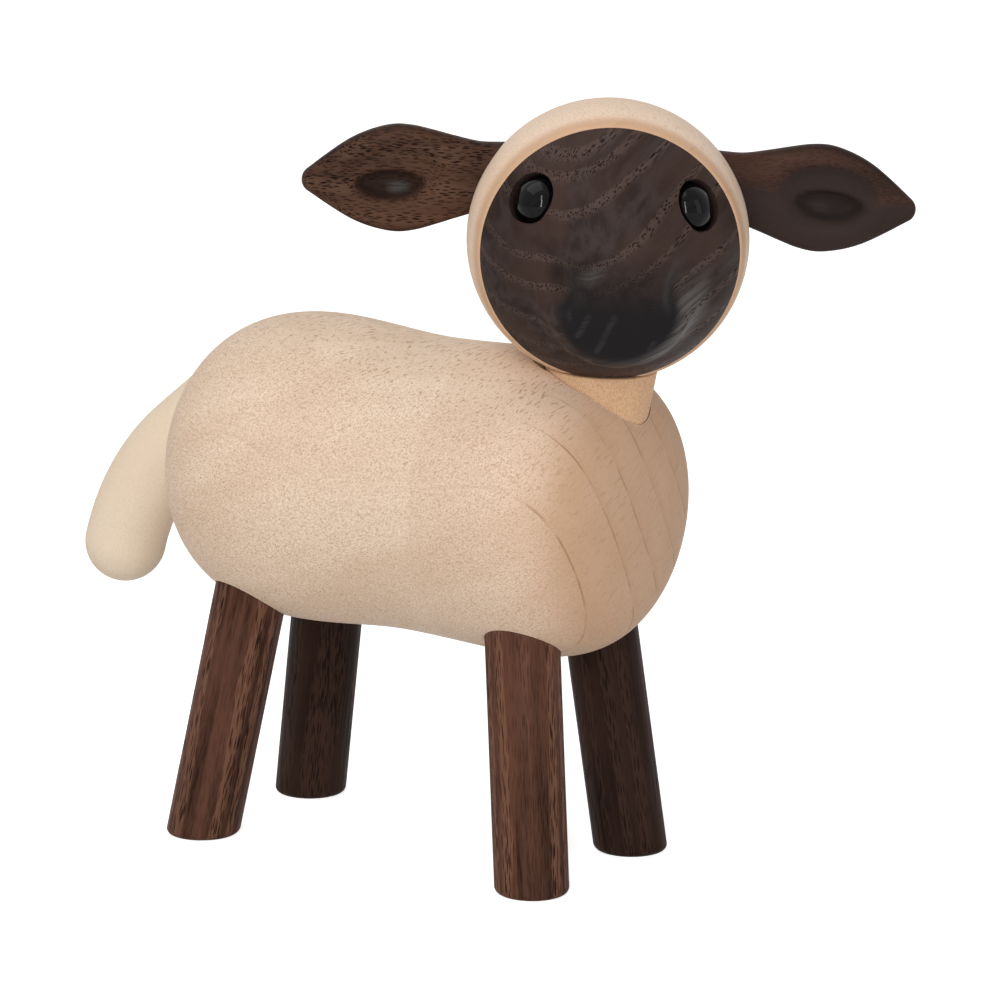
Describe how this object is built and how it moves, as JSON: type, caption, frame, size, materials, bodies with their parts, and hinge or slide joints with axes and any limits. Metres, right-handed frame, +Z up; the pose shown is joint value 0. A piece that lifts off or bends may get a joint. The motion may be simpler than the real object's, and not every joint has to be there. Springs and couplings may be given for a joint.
{
  "type": "wooden sheep figurine",
  "caption": "Turned wooden sheep ornament with a pale barrel body, dark dowel legs, leaf-shaped ears and a dark face on a ball head that turns on its neck peg.",
  "frame": {"origin": "on the ground, midway between the four feet", "axes": "+X the way the body faces, +Y the sheep's left, +Z up"},
  "size_m": [0.1178, 0.0478, 0.1047],
  "materials": {
    "maple": "fine sanded, oiled, matt",
    "cream_maple": "fine sanded, oiled, matt",
    "smoked_oak": "open grain, oiled, satin",
    "bead": "polished",
    "dowel_wood": "plain sawn dowel"
  },
  "bodies": {
    "sheep_body": {"body": "maple", "neck": "cream_maple", "neck_peg": "dowel_wood", "tail": "cream_maple", "front_left_leg": "smoked_oak", "front_right_leg": "smoked_oak", "rear_left_leg": "smoked_oak", "rear_right_leg": "smoked_oak"},
    "head": {"head_ball": "maple", "face": "smoked_oak", "face_dowel": "dowel_wood", "left_eye": "bead", "right_eye": "bead", "left_ear": "smoked_oak", "right_ear": "smoked_oak", "left_ear_dowel": "dowel_wood", "right_ear_dowel": "dowel_wood"}
  },
  "joints": [
    {"name": "head_turn", "type": "hinge", "parent": "sheep_body", "child": "head", "pos_m": [0.0292, 0, 0.06914], "axis": [0.0523, 0, 0.9986], "continuous": true}
  ]
}
